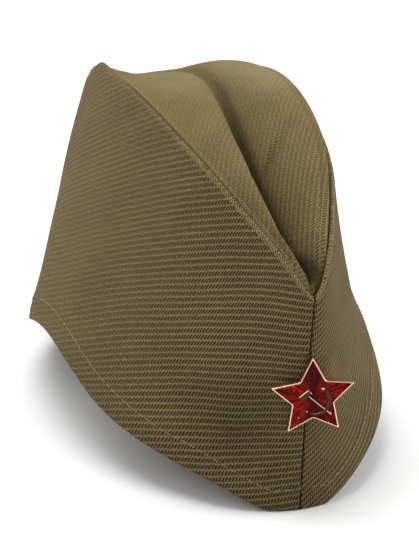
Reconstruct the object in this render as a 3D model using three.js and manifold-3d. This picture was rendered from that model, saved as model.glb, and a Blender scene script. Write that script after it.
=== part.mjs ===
// A cloth garrison cap, opened for the head, with an enamelled star badge on its front seam.
// Millimetres, +Z up, front towards -Y, the wearer's left towards +X. It rests on the two ends of its rim.

import * as THREE from 'three';
import Module from 'manifold-3d';
import { mergeVertices } from 'three/addons/utils/BufferGeometryUtils.js';

const wasm = await Module();
wasm.setup();

// Rim: the lower edge, which arches up at the sides. Its front and back ends, where the arch is
// under footDrop, are pressed flat by the cap's weight.
const rimLength = 209;
const rimWidth = 118.2;
const rimArch = 32;
const footDrop = 2.4;

// Top edge of the turned-up flaps
const edgeLength = 240.7;
const edgeWidth = 60.8;
const edgeShift = 6.1;
const frontHeight = 77.7;
const backHeight = 101.1;
const edgeRise = 32;

// How far the flaps bow out, or in where negative, between rim and top edge
const sideBelly = -3.8;
const frontBelly = -1.1;
const backBelly = 10.4;

// Cloth and the gaps between its layers
const flapThickness = 2.0;
const crownThickness = 1.2;
const layerGap = 0.5;
const seamGap = 0.3;
const edgeRoll = 1.0;

// Crown: its walls stand inside the flaps. Its top starts level with the flaps' edges, rises above the
// left one by up to crownRise, and is folded in along the middle.
const crownTuck = 3;
const crownRise = 4.4;
const foldDepth = 13;
const foldSteepness = 9;
const farSteepness = 2;
const lobeRise = 4.5;

// Star badge. It leans with the seam behind it, but for starTip, in degrees.
const starRadius = 14.4;
const starNotchShare = 0.5;
const starThickness = 2.2;
const starPlate = 1.0;
const starRim = 0.65;
const enamelThickness = 0.7;
const enamelGap = 0.15;
const figureRise = 0.35;
const starHeight = 42.9;
const starSide = 1.2;
const starStandOff = 1.3;
const starYaw = -11.5;
const starTip = -2.6;
const starRoll = 2.3;

// Plain post that holds the badge, with its end bent flat inside the cap
const postRadius = 0.8;
const postClearance = 0.3;
const postTabHeight = 12;
const postTabWidth = 2.4;
const postTabThickness = 0.8;

// Sections every 30 degrees round the cap, from the front seam (0) to the back seam (180), as shares:
// rimOut of half the rim's width, rimLift of rimArch, rightOut and leftOut of half the edge's width,
// rightRise and leftRise of edgeRise above a straight line from the front height to the back height
const capSections = [
  { turn: 0, rimOut: 0, rimLift: 0, rightOut: 0, leftOut: 0, rightRise: 0, leftRise: 0 },
  { turn: 30, rimOut: 0.49, rimLift: 0.34, rightOut: 0.36, leftOut: 0.42, rightRise: 0.43, leftRise: 0.47 },
  { turn: 60, rimOut: 0.87, rimLift: 0.65, rightOut: 0.77, leftOut: 0.89, rightRise: 0.93, leftRise: 0.87 },
  { turn: 90, rimOut: 1.0, rimLift: 1.04, rightOut: 0.93, leftOut: 1.07, rightRise: 1.04, leftRise: 0.96 },
  { turn: 120, rimOut: 0.89, rimLift: 0.67, rightOut: 0.73, leftOut: 0.79, rightRise: 0.49, leftRise: 0.45 },
  { turn: 150, rimOut: 0.5, rimLift: 0.12, rightOut: 0.3, leftOut: 0.32, rightRise: 0.17, leftRise: 0.04 },
  { turn: 180, rimOut: 0, rimLift: 0, rightOut: 0, leftOut: 0, rightRise: 0, leftRise: 0 },
];

// The crown's fold at the same turns: foldAt is its place across, as a share of the half width there
// (below 0 towards the right flap), foldDown of foldDepth, rightLobe and leftLobe of lobeRise, and
// leftBorder of crownRise
const foldSections = [
  { turn: 0, foldAt: -0.85, foldDown: 0.35, rightLobe: 0, leftLobe: 0, leftBorder: 0 },
  { turn: 30, foldAt: -0.5, foldDown: 1.0, rightLobe: 0.45, leftLobe: 0, leftBorder: 0.4 },
  { turn: 60, foldAt: -0.12, foldDown: 0.75, rightLobe: 0.6, leftLobe: 0.3, leftBorder: 1.0 },
  { turn: 90, foldAt: 0.12, foldDown: 0.14, rightLobe: 0.2, leftLobe: 0.9, leftBorder: 0.7 },
  { turn: 120, foldAt: 0.12, foldDown: 0.1, rightLobe: -0.25, leftLobe: 0.5, leftBorder: 0.1 },
  { turn: 150, foldAt: 0, foldDown: 0.2, rightLobe: -0.2, leftLobe: -0.1, leftBorder: 0 },
  { turn: 180, foldAt: 0, foldDown: 0, rightLobe: 0, leftLobe: 0, leftBorder: 0 },
];

// Mesh steps
const columns = 30;
const endCrowding = 0.08;
const flapLevels = [0, 0.06, 0.15, 0.27, 0.4, 0.54, 0.68, 0.8, 0.91];
const wallLevels = [0.13, 0.27, 0.42, 0.57, 0.72, 0.87];
const foldSteps = [0, 0.03, 0.07, 0.13, 0.22, 0.38, 0.65, 1];
const farSteps = [0.1, 0.24, 0.4, 0.56, 0.72, 0.86, 1];
const planSteps = 180;

const sides = { right: -1, left: 1 };

const clamp01 = (value) => Math.min(1, Math.max(0, value));
const mix = (a, b, share) => a + (b - a) * share;

function smooth(value) {
  const t = clamp01(value);
  return t * t * (3 - 2 * t);
}

// A smooth curve through one column of a table, mirrored past both ends so that it stays round there
function column(table, name, turn, changesSign) {
  const last = table.length - 1;
  const at = (i) => {
    const mirrored = i < 0 ? -i : i > last ? 2 * last - i : i;
    return table[mirrored][name] * (mirrored !== i && changesSign ? -1 : 1);
  };
  const place = Math.min((turn / Math.PI) * last, last - 1e-9);
  const i = Math.floor(place);
  const t = place - i;
  const [a, b, c, d] = [at(i - 1), at(i), at(i + 1), at(i + 2)];
  const bend = (2 * a - 5 * b + 4 * c - d) * t ** 2;
  const twist = (3 * b - a - 3 * c + d) * t ** 3;
  return 0.5 * (2 * b + (c - a) * t + bend + twist);
}

// Outer face of a flap in its own half: out from the middle, along from front to back, and up.
// It is the straight line from the rim to the top edge, bowed by the belly.
function flapFace(sideName, turn, share) {
  const along = -Math.cos(turn);
  const rimOut = (rimWidth / 2) * column(capSections, 'rimOut', turn, true);
  const lift = column(capSections, 'rimLift', turn, false);
  const rimUp = Math.max(0, rimArch * lift - footDrop * (1 - lift));
  const edgeOut = (edgeWidth / 2) * column(capSections, `${sideName}Out`, turn, true);
  const edgeUp = mix(frontHeight, backHeight, (1 + along) / 2)
    + edgeRise * column(capSections, `${sideName}Rise`, turn, false);
  const endBelly = along < 0 ? frontBelly : backBelly;
  const belly = 4 * share * (1 - share) * mix(sideBelly, endBelly, along ** 2);
  const normalOut = Math.sin(turn) / rimWidth;
  const normalAlong = along / rimLength;
  const size = Math.hypot(normalOut, normalAlong);
  const run = mix((rimLength / 2) * along, edgeShift + (edgeLength / 2) * along, share);
  return [
    mix(rimOut, edgeOut, share) + (belly * normalOut) / size,
    run + (belly * normalAlong) / size,
    mix(rimUp, edgeUp, share),
  ];
}

// The same point moved inwards, level, by a depth of cloth
function insetFace(sideName, turn, share, depth) {
  const step = 0.004;
  const before = flapFace(sideName, Math.max(0, turn - step), share);
  const after = flapFace(sideName, Math.min(Math.PI, turn + step), share);
  const [out, along, up] = flapFace(sideName, turn, share);
  const run = Math.hypot(after[0] - before[0], after[1] - before[1]);
  const inOut = (-(after[1] - before[1]) / run) * depth;
  const inAlong = ((after[0] - before[0]) / run) * depth;
  return [out + inOut, along + inAlong, up];
}

// Turns for the columns of a wall, closer together at the two seams
function turnAt(index) {
  const share = index / columns;
  return Math.PI * (share - endCrowding * Math.sin(2 * Math.PI * share));
}

// Closed profiles joined one to the next, with both ends closed as strips from first point to last
function loft(profiles) {
  const count = profiles[0].length;
  const positions = profiles.flat(2);
  const index = [];
  for (let i = 0; i < profiles.length - 1; i += 1) {
    for (let j = 0; j < count; j += 1) {
      const a = i * count + j;
      const b = i * count + ((j + 1) % count);
      index.push(a, b, b + count, a, b + count, a + count);
    }
  }
  const closeEnd = (start, flip) => {
    for (let low = 0, high = count - 1; high - low > 1; low += 1) {
      const triangles = [[low, high, low + 1]];
      if (high - low > 2) triangles.push([low + 1, high, high - 1]);
      for (const [a, b, c] of triangles) {
        index.push(start + a, start + (flip ? c : b), start + (flip ? b : c));
      }
      high -= 1;
    }
  };
  closeEnd(0, false);
  closeEnd((profiles.length - 1) * count, true);
  return facingOut(solidGeometry(positions, index));
}

function solidGeometry(positions, index) {
  const geometry = new THREE.BufferGeometry();
  geometry.setAttribute('position', new THREE.Float32BufferAttribute(positions, 3));
  geometry.setIndex(index);
  return geometry;
}

// Turns every triangle round when the enclosed volume comes out negative
function facingOut(geometry) {
  const position = geometry.attributes.position;
  const index = Array.from(geometry.index.array);
  const [a, b, c] = [new THREE.Vector3(), new THREE.Vector3(), new THREE.Vector3()];
  let volume = 0;
  for (let i = 0; i < index.length; i += 3) {
    a.fromBufferAttribute(position, index[i]);
    b.fromBufferAttribute(position, index[i + 1]);
    c.fromBufferAttribute(position, index[i + 2]);
    volume += a.dot(b.cross(c));
  }
  if (volume < 0) {
    for (let i = 0; i < index.length; i += 3) [index[i + 1], index[i + 2]] = [index[i + 2], index[i + 1]];
    geometry.setIndex(index);
  }
  return geometry;
}

function toSolid(geometry) {
  const plain = new THREE.BufferGeometry();
  plain.setAttribute('position', geometry.attributes.position);
  if (geometry.index) plain.setIndex(geometry.index);
  const merged = facingOut(mergeVertices(plain, 1e-4));
  return new wasm.Manifold(new wasm.Mesh({
    numProp: 3,
    vertProperties: new Float32Array(merged.attributes.position.array),
    triVerts: new Uint32Array(merged.index.array),
  }));
}

function fromSolid(solid) {
  const mesh = solid.getMesh();
  return solidGeometry(Array.from(mesh.vertProperties), Array.from(mesh.triVerts));
}

// Places a point of one half in the cap, never nearer to the middle than half the seam
const placed = (sideName, [out, along, up]) => [sides[sideName] * Math.max(out, seamGap / 2), along, up];

// A turned-up flap: rim, outer face, rolled top edge and inner face
function flapGeometry(sideName) {
  const profiles = [];
  for (let i = 0; i <= columns; i += 1) {
    const turn = turnAt(i);
    const rollShare = edgeRoll / flapFace(sideName, turn, 1)[2];
    const levels = [...flapLevels, 1 - rollShare];
    const outer = levels.map((share) => flapFace(sideName, turn, share));
    const inner = levels.map((share) => insetFace(sideName, turn, share, flapThickness));
    const crest = insetFace(sideName, turn, 1, flapThickness / 2);
    profiles.push([...outer, crest, ...inner.reverse()].map((point) => placed(sideName, point)));
  }
  return loft(profiles);
}

// Level outline of a crown wall at one share of the height, from where it leaves the middle
// at the front to where it meets it again at the back, as points in order along the cap
function wallOutline(sideName, share, depth) {
  const middle = seamGap / 2;
  const points = [];
  for (let i = 0; i <= planSteps; i += 1) {
    points.push(insetFace(sideName, (Math.PI * i) / planSteps, share, depth));
  }
  const inside = points.filter((point, i) => point[0] > middle && (i === 0 || point[1] > points[i - 1][1]));
  const first = points.indexOf(inside[0]);
  const last = points.indexOf(inside[inside.length - 1]);
  const cross = (a, b) => {
    const t = (middle - a[0]) / (b[0] - a[0]);
    return a.map((value, axis) => mix(value, b[axis], clamp01(t)));
  };
  return [cross(points[first - 1], points[first]), ...points.slice(first, last + 1),
    cross(points[last + 1], points[last])];
}

// Value of an outline at a place along the cap: [out, up]
function outlineAt(outline, along) {
  let i = 1;
  while (i < outline.length - 1 && outline[i][1] < along) i += 1;
  const [a, b] = [outline[i - 1], outline[i]];
  const t = clamp01((along - a[1]) / (b[1] - a[1]));
  return [mix(a[0], b[0], t), mix(a[2], b[2], t)];
}

// Even columns of an outline, closer together at its two ends
function outlineColumns(outline) {
  const from = outline[0][1];
  const to = outline[outline.length - 1][1];
  const points = [];
  for (let i = 0; i <= columns; i += 1) {
    const along = mix(from, to, (1 - Math.cos(turnAt(i))) / 2);
    const [out, up] = outlineAt(outline, along);
    points.push([out, along, up]);
  }
  return points;
}

const wallDepth = flapThickness + layerGap;

// The turn at a place along the top edge, and how far the crown's border stands above that edge there
const edgeTurn = (along) => Math.acos(Math.max(-1, Math.min(1, (edgeShift - along) / (edgeLength / 2))));

function borderRise(sideName, along) {
  return sideName === 'left' ? crownRise * column(foldSections, 'leftBorder', edgeTurn(along), false) : 0;
}

// A crown wall, tucked in above the rim and ending under the border of the crown's top
function wallGeometry(sideName) {
  const layers = (depth) => {
    const tucked = outlineColumns(wallOutline(sideName, crownTuck / frontHeight, depth));
    const rising = wallLevels.map((share) => outlineColumns(wallOutline(sideName, share, depth)));
    const ridge = outlineColumns(wallOutline(sideName, 1, depth)).map(([out, along, up]) => (
      [out, along, up + borderRise(sideName, along) - crownThickness - layerGap]));
    return [tucked, ...rising, ridge];
  };
  const outer = layers(wallDepth);
  const inner = layers(wallDepth + crownThickness);
  const profiles = [];
  for (let i = 0; i <= columns; i += 1) {
    const profile = [...outer.map((layer) => layer[i]), ...inner.map((layer) => layer[i]).reverse()];
    profiles.push(profile.map((point) => placed(sideName, point)));
  }
  return loft(profiles);
}

// The crown's top: a panel from ridge to ridge, folded down along the middle. The half by the right
// flap drops steeply into the fold and the other half slopes gently out of it.
function topGeometry() {
  const ridges = { right: wallOutline('right', 1, wallDepth), left: wallOutline('left', 1, wallDepth) };
  const from = Math.max(ridges.right[0][1], ridges.left[0][1]);
  const to = Math.min(ridges.right.at(-1)[1], ridges.left.at(-1)[1]);
  const profiles = [];
  for (let i = 0; i <= columns; i += 1) {
    const along = mix(from, to, (1 - Math.cos(turnAt(i))) / 2);
    const turn = edgeTurn(along);
    const [rightOut, rightRidge] = outlineAt(ridges.right, along);
    const [leftOut, leftRidge] = outlineAt(ridges.left, along);
    const ledge = crownThickness + layerGap;
    const halfWidth = Math.min(rightOut, leftOut);
    const level = 1 - smooth((halfWidth - ledge) / ledge);
    const rightUp = mix(rightRidge, Math.max(rightRidge, leftRidge), level);
    const leftUp = mix(leftRidge, Math.max(rightRidge, leftRidge), level) + borderRise('left', along);
    const narrow = smooth((halfWidth - 2 * ledge) / foldDepth);
    const drop = foldDepth * column(foldSections, 'foldDown', turn, false) * narrow;
    const foldAt = column(foldSections, 'foldAt', turn, false);
    const nearest = -rightOut + Math.min(2 * ledge + crownThickness, rightOut);
    const foldOut = Math.max(foldAt * (foldAt < 0 ? rightOut : leftOut), nearest);
    const foldUp = mix(rightUp, leftUp, (1 + foldAt) / 2) - drop;
    const half = (out, up, steps, steepness, lobe, middle) => {
      const shelf = out - Math.sign(out) * Math.min(ledge, Math.abs(out) / 2);
      const bump = lobeRise * column(foldSections, lobe, turn, false) * narrow;
      const slope = steps.map((share) => [mix(middle, shelf, share), along,
        mix(foldUp, up, 1 - (1 - share) ** steepness) + bump * 4 * share * (1 - share)]);
      return [...slope, [out, along, up]];
    };
    const section = (shift, down) => {
      const middle = foldOut - Math.min(shift, (rightOut + foldOut) / 4);
      const near = half(-rightOut, rightUp, foldSteps, foldSteepness, 'rightLobe', middle);
      const far = half(leftOut, leftUp, farSteps, farSteepness, 'leftLobe', middle);
      return [...near.reverse(), ...far].map(([x, y, z]) => [x, y, z - down]);
    };
    profiles.push([...section(0, 0), ...section(crownThickness, crownThickness).reverse()]);
  }
  return loft(profiles);
}

// Star outline with five points, its first point up
function starShape(inset) {
  const notch = starRadius * starNotchShare;
  const point = new THREE.Vector2(0, starRadius);
  const corner = new THREE.Vector2(notch * Math.sin(Math.PI / 5), notch * Math.cos(Math.PI / 5));
  const edge = corner.clone().sub(point).normalize();
  const apothem = Math.abs(point.x * edge.y - point.y * edge.x);
  const size = (apothem - inset) / apothem;
  const corners = [];
  for (let i = 0; i < 10; i += 1) {
    const angle = Math.PI / 2 - (i * Math.PI) / 5;
    const radius = size * (i % 2 ? notch : starRadius);
    corners.push(new THREE.Vector2(radius * Math.cos(angle), radius * Math.sin(angle)));
  }
  return new THREE.Shape(corners);
}

// The raised figure in the middle of the star, a crossed sickle and hammer, grown by a margin
const bladeCentre = [1.1, -1.1];
const bladeRadii = [4.2, 4.87];
const bladeWidth = 1.2;
const bladeFrom = 1.22;
const bladeTo = -2.35;
const bladeSteps = 16;
const gripEnd = [-4.95, -6.85];
const gripWidth = 0.9;
const hammerFrom = [-2.45, 0.95];
const hammerTo = [5.9, -6.4];
const hammerWidth = 0.75;
const hammerHead = [4.2, 2.1];

function bar(from, to, width, low, high) {
  const length = Math.hypot(to[0] - from[0], to[1] - from[1]);
  const geometry = new THREE.BoxGeometry(length, width, high - low);
  geometry.rotateZ(Math.atan2(to[1] - from[1], to[0] - from[0]));
  geometry.translate((from[0] + to[0]) / 2, (from[1] + to[1]) / 2, (low + high) / 2);
  return toSolid(geometry);
}

function bladePoint(angle, grow) {
  const x = bladeCentre[0] + Math.cos(angle) * (bladeRadii[0] + grow);
  const y = bladeCentre[1] + Math.sin(angle) * (bladeRadii[1] + grow);
  return new THREE.Vector2(x, y);
}

function sickleBlade(margin, low, high) {
  const rim = [];
  const inside = [];
  for (let i = 0; i <= bladeSteps; i += 1) {
    const share = i / bladeSteps;
    const angle = mix(bladeFrom, bladeTo, share);
    const half = margin + (bladeWidth / 2) * Math.sin(Math.PI * (0.12 + 0.76 * share));
    rim.push(bladePoint(angle, half));
    inside.unshift(bladePoint(angle, -half));
  }
  const shape = new THREE.Shape([...rim, ...inside]);
  const geometry = new THREE.ExtrudeGeometry(shape, { depth: high - low, bevelEnabled: false });
  geometry.translate(0, 0, low);
  return toSolid(geometry);
}

function figureSolid(margin, low, high) {
  const bladeEnd = bladePoint(bladeTo, 0).toArray();
  const grip = bar(bladeEnd, gripEnd, gripWidth + 2 * margin, low, high);
  const handle = bar(hammerFrom, hammerTo, hammerWidth + 2 * margin, low, high);
  const slope = Math.atan2(hammerTo[1] - hammerFrom[1], hammerTo[0] - hammerFrom[0]);
  const head = new THREE.BoxGeometry(hammerHead[1] + 2 * margin, hammerHead[0] + 2 * margin, high - low);
  head.rotateZ(slope);
  head.translate(hammerFrom[0], hammerFrom[1], (low + high) / 2);
  return sickleBlade(margin, low, high).add(grip).add(handle).add(toSolid(head));
}

function starPrism(inset, low, high) {
  const geometry = new THREE.ExtrudeGeometry(starShape(inset), { depth: high - low, bevelEnabled: false });
  geometry.translate(0, 0, low);
  return toSolid(geometry);
}

// Brass star: a back plate with a raised rim and the raised figure, all one stamping
function starGeometry() {
  const body = starPrism(0, 0, starThickness);
  const field = starPrism(starRim, starPlate, starThickness + 1);
  const figure = figureSolid(0, starPlate / 2, starThickness + figureRise);
  return fromSolid(body.subtract(field).add(figure));
}

// Enamel: fills the star inside its rim and round the figure
function enamelGeometry() {
  const low = starPlate + enamelGap;
  const filling = starPrism(starRim + enamelGap, low, low + enamelThickness);
  return fromSolid(filling.subtract(figureSolid(enamelGap, 0, starThickness + 1)));
}

// Where the front seam runs at a height, on the outer face
function seamAlong(height) {
  let [low, high] = [0, 1];
  for (let i = 0; i < 40; i += 1) {
    const middle = (low + high) / 2;
    if (flapFace('right', 0, middle)[2] < height) low = middle;
    else high = middle;
  }
  return flapFace('right', 0, low)[1];
}

// How far the front seam leans forward there, over a reach up and down
function seamLean(height, reach) {
  return Math.atan2(seamAlong(height - reach) - seamAlong(height + reach), 2 * reach);
}

function badgeGroup() {
  const yaw = THREE.MathUtils.degToRad(starYaw);
  const lean = seamLean(starHeight, starRadius) + THREE.MathUtils.degToRad(starTip);
  const across = new THREE.Vector3(Math.cos(yaw), Math.sin(yaw), 0);
  const level = new THREE.Vector3(Math.sin(yaw), -Math.cos(yaw), 0);
  const facing = level.multiplyScalar(Math.cos(lean)).setZ(-Math.sin(lean));
  const up = facing.clone().cross(across);
  const group = new THREE.Group();
  group.quaternion.setFromRotationMatrix(new THREE.Matrix4().makeBasis(across, up, facing));
  group.rotateZ(THREE.MathUtils.degToRad(starRoll));
  group.position.set(starSide, seamAlong(starHeight) - starStandOff, starHeight);
  return group;
}

// The post lies along Y through the seam at the star's height
function postSolids() {
  const depth = wallDepth + crownThickness;
  const slope = Math.tan(THREE.MathUtils.degToRad(Math.abs(starYaw)));
  const outside = seamAlong(starHeight) - starStandOff + (starSide + postRadius) * slope + postClearance;
  const inside = seamAlong(starHeight) + depth + postClearance;
  const rod = (radius, from, to) => {
    const geometry = new THREE.CylinderGeometry(radius, radius, to - from, 16);
    geometry.translate(0, (from + to) / 2, starHeight);
    return toSolid(geometry);
  };
  const tab = new THREE.BoxGeometry(postTabWidth, postTabThickness, postTabHeight);
  tab.rotateX(seamLean(starHeight, postTabHeight / 2));
  tab.translate(0, inside + postTabThickness / 2, starHeight);
  return {
    post: rod(postRadius, outside, inside + postTabThickness / 2).add(toSolid(tab)),
    hole: rod(postRadius + postClearance, outside - 2 * depth, inside + depth),
  };
}

const cloth = (hex) => new THREE.MeshStandardMaterial({ color: hex, roughness: 0.95, metalness: 0 });
const materials = {
  flap: cloth(0x6f6140),
  wall: cloth(0x62563a),
  top: cloth(0x7a6b46),
  brass: new THREE.MeshStandardMaterial({ color: 0xb08a58, roughness: 0.35, metalness: 0.9 }),
  enamel: new THREE.MeshStandardMaterial({ color: 0x7c0f10, roughness: 0.15, metalness: 0 }),
};

function named(name, geometry, material) {
  const mesh = new THREE.Mesh(geometry, material.clone());
  mesh.name = name;
  return mesh;
}

const { post, hole } = postSolids();
const pierced = (geometry) => fromSolid(toSolid(geometry).subtract(hole));

const cap = new THREE.Group();
for (const sideName of Object.keys(sides)) {
  cap.add(named(`flap_${sideName}`, pierced(flapGeometry(sideName)), materials.flap));
  cap.add(named(`crown_wall_${sideName}`, pierced(wallGeometry(sideName)), materials.wall));
}
cap.add(named('crown_top', topGeometry(), materials.top));

const badge = badgeGroup();
badge.add(named('badge_star', starGeometry(), materials.brass));
badge.add(named('badge_enamel', enamelGeometry(), materials.enamel));
cap.add(badge);
cap.add(named('badge_post', fromSolid(post), materials.brass));

// The origin is under the middle of the cap's box
const box = new THREE.Box3().setFromObject(cap, true);
cap.position.set(-(box.min.x + box.max.x) / 2, -(box.min.y + box.max.y) / 2, -box.min.z);

export default cap;
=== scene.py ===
"""The looks of a cloth garrison cap with an enamelled star badge.

Lengths are millimetres in the cap's own frame until a mesh is made: the front seam is towards -y and
the wearer's left towards +x. The right flap is the one on the wearer's right.
"""

import math

import bmesh
import bpy
import numpy as np
from mathutils import Matrix, Vector


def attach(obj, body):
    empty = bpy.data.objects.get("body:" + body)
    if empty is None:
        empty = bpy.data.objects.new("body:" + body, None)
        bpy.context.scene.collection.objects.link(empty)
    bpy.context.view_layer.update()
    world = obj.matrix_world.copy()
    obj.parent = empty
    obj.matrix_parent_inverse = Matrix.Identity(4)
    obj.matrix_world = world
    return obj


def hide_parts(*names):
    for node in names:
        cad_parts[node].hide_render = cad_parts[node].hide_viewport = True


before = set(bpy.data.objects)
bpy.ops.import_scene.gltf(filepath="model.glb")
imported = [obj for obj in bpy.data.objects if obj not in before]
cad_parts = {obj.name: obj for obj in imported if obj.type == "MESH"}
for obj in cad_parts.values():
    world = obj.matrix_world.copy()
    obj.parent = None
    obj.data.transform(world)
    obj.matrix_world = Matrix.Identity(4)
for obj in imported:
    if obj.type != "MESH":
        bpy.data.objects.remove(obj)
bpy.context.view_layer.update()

# Where the cap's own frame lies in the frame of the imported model
cap_shift = np.array([0.0, -6.6817, 0.0])

# Rim and top edge of the turned-up flaps
rim_length = 209.0
rim_width = 118.2
rim_arch = 32.0
foot_drop = 2.4
edge_length = 240.7
edge_width = 60.8
edge_shift = 6.1
front_height = 77.7
back_height = 101.1
edge_rise = 32.0
shoulder_rise = {"right": 5.6, "left": 0.0}
shoulder_turn = math.radians(108)
shoulder_reach = 0.2
side_belly = -3.8
front_belly = -1.1
back_belly = 10.4

# Cloth and its layers
flap_thickness = 2.0
crown_thickness = 1.2
layer_gap = 0.5
seam_gap = 0.02
wall_depth = flap_thickness + layer_gap
crown_tuck = 3.0
crown_rise = 4.4
back_dip = 3.0
fold_depth = 13.0
fold_steepness = 13.0
far_steepness = 2.0
lobe_rise = 4.5
seam_round = 1.0
border_reach = 0.4

# The crown's wrinkle and its sharp crease, with the share and the reach of the painted shade in each
wrinkle_depth = 3.0
wrinkle_place = (5.0, -59.5)
wrinkle_heading = (0.75, 0.66)
wrinkle_reach = (1.8, 11.0)
wrinkle_shade = 0.2
crease_depth = 9.0
crease_width = 1.6
crease_shade_share = 0.62
crease_shade_reach = {"near": 1.2, "far": 6.5}
# A stripe of painted shade beside the crease: its share, its shift and its reach
stripe_shade = 0.8
stripe_shift = 1.4
stripe_reach = 1.2

# Relief of the flaps: the swell of a rolled edge, the dent of the hem's stitches, and a broad dent or swell
# on each flap, given by its height and its place and reach along the flap and then up it
edge_swell = 0.3
edge_swell_reach = 1.6
hem_dent = 0.28
hem_dent_reach = 1.1
flap_dents = {"right": (-1.4, 27.0, 14.0, 33.0, 10.0), "left": (3.0, 50.0, 28.0, 20.0, 15.0)}
# Towards the back the foot of a flap curls in: each depth, the turn where it starts and its reach
foot_curls = ((1.2, 2.0, 0.8), (1.8, 2.6, 0.4))
foot_curl_height = 9.0
# Slow waves: height, length along the cloth, length up it, and share of the phase
ripple_waves = ((0.25, 19.0, 31.0, 1.0), (0.16, 11.0, -17.0, 2.1), (0.08, 6.5, 8.0, 0.7))
ripple_phase = {"right": 1.3, "left": 4.1, "crown": 2.2}

# Twill: the ribs' pitch, the pitch of the yarns that cross them, and the ribs' angles
rib_pitch = 2.2
yarn_pitch = 1.0
yarn_spread = 110.0
crown_rib_pitch = 1.7
crown_rib_angle = math.radians(25)
crown_rib_turn = 0.0022
crown_rib_start = 90.0
# Where the flaps' ribs start at the front seam and how they turn, per millimetre, up to a reach
rib_slopes = {
    "right": (math.radians(4.0), math.radians(0.18)),
    "left": (math.radians(40), math.radians(-0.45)),
}
rib_reach = {"right": 110.0, "left": 45.0}

# Stitching. The roll and the groove beside the crown's far border have a height, a place and a reach
hem_height = 8.0
stitch_length = 2.7
stitch_pitch = 3.3
stitch_radius = 0.11
stitch_sink = 0.12
topstitch_inset = 2.9
topstitch_reach = (-101.0, -20.0)
topstitch_length = 2.2
topstitch_pitch = 3.4
topstitch_radius = 0.14
topstitch_sink = 0.2
thread_lift = 0.02
ridge_roll = (0.35, 1.3, 0.9)
ridge_groove = (-0.4, topstitch_inset, 0.55)

# Sections every 30 degrees round the cap, from the front seam to the back seam, as shares of the sizes above
section_names = ("rim_out", "rim_lift", "right_out", "left_out", "right_rise", "left_rise")
cap_sections = np.array([
    (0.0, 0.0, 0.0, 0.0, 0.0, 0.0),
    (0.49, 0.34, 0.36, 0.42, 0.43, 0.47),
    (0.87, 0.65, 0.77, 0.89, 0.93, 0.87),
    (1.0, 1.04, 0.93, 1.07, 1.04, 0.96),
    (0.89, 0.67, 0.73, 0.79, 0.49, 0.45),
    (0.5, 0.12, 0.3, 0.32, 0.17, 0.04),
    (0.0, 0.0, 0.0, 0.0, 0.0, 0.0),
])

# The crown's fold at the same turns: its place across and its depth, the swell of its two lobes, the rise
# of its left border, the drop of both borders at the ends, and the depth of the sharp crease in the fold
fold_names = ("fold_at", "fold_down", "right_lobe", "left_lobe", "left_border", "dip", "crease")
fold_sections = np.array([
    (-0.85, 0.4, 0.0, 0.0, 0.0, 1.0, 1.0),
    (-0.5, 1.15, 0.45, 0.0, 0.4, 0.15, 1.0),
    (-0.12, 0.9, 0.6, 0.45, 1.0, 0.0, 0.7),
    (0.12, 0.16, 0.2, 0.85, 0.7, 0.0, 0.2),
    (0.12, 0.1, -0.25, 0.5, 0.1, 0.07, 0.0),
    (0.0, 0.2, -0.2, -0.1, 0.0, 0.27, 0.0),
    (0.0, 0.0, 0.0, 0.0, 0.0, 1.2, 0.0),
])

sides = {"right": -1.0, "left": 1.0}


def mix(a, b, share):
    """The straight line from a to b."""
    return a + (b - a) * share


def smooth(value):
    """An S curve from 0 to 1, flat at both ends."""
    t = np.clip(value, 0.0, 1.0)
    return t * t * (3 - 2 * t)


def bell(value, centre, width):
    """A hump of height 1 round a centre, falling off as the square's exponential."""
    return np.exp(-(((value - centre) / width) ** 2))


def column(table, names, name, turn, changes_sign):
    """A Catmull-Rom curve through one column of a table, mirrored past both ends."""
    values = table[:, names.index(name)]
    sign = -1.0 if changes_sign else 1.0
    padded = np.concatenate(([sign * values[1]], values, [sign * values[-2]]))
    last = len(values) - 1
    place = np.clip(turn / np.pi * last, 0, last - 1e-9)
    i = np.floor(place).astype(int)
    t = place - i
    a, b, c, d = padded[i], padded[i + 1], padded[i + 2], padded[i + 3]
    square = 2 * a - 5 * b + 4 * c - d
    cube = 3 * b - a - 3 * c + d
    return 0.5 * (2 * b + (c - a) * t + square * t**2 + cube * t**3)


def section(name, turn, changes_sign=False):
    """One column of the cap's sections at a turn."""
    return column(cap_sections, section_names, name, turn, changes_sign)


def fold(name, turn):
    """One column of the crown's fold at a turn."""
    return column(fold_sections, fold_names, name, turn, False)


def turn_at(along):
    """The turn at a place along the top edge."""
    return np.arccos(np.clip((edge_shift - along) / (edge_length / 2), -1, 1))


def border_rise(side, along):
    """Height of the crown's border above a flap's edge at a place along the cap. It doesn't follow the
    flap's shoulder."""
    turn = turn_at(along)
    rise = crown_rise * fold("left_border", turn) if side == "left" else 0.0
    shoulder = shoulder_rise[side] * bell(turn, shoulder_turn, shoulder_reach)
    return rise - back_dip * fold("dip", turn) - shoulder


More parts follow.
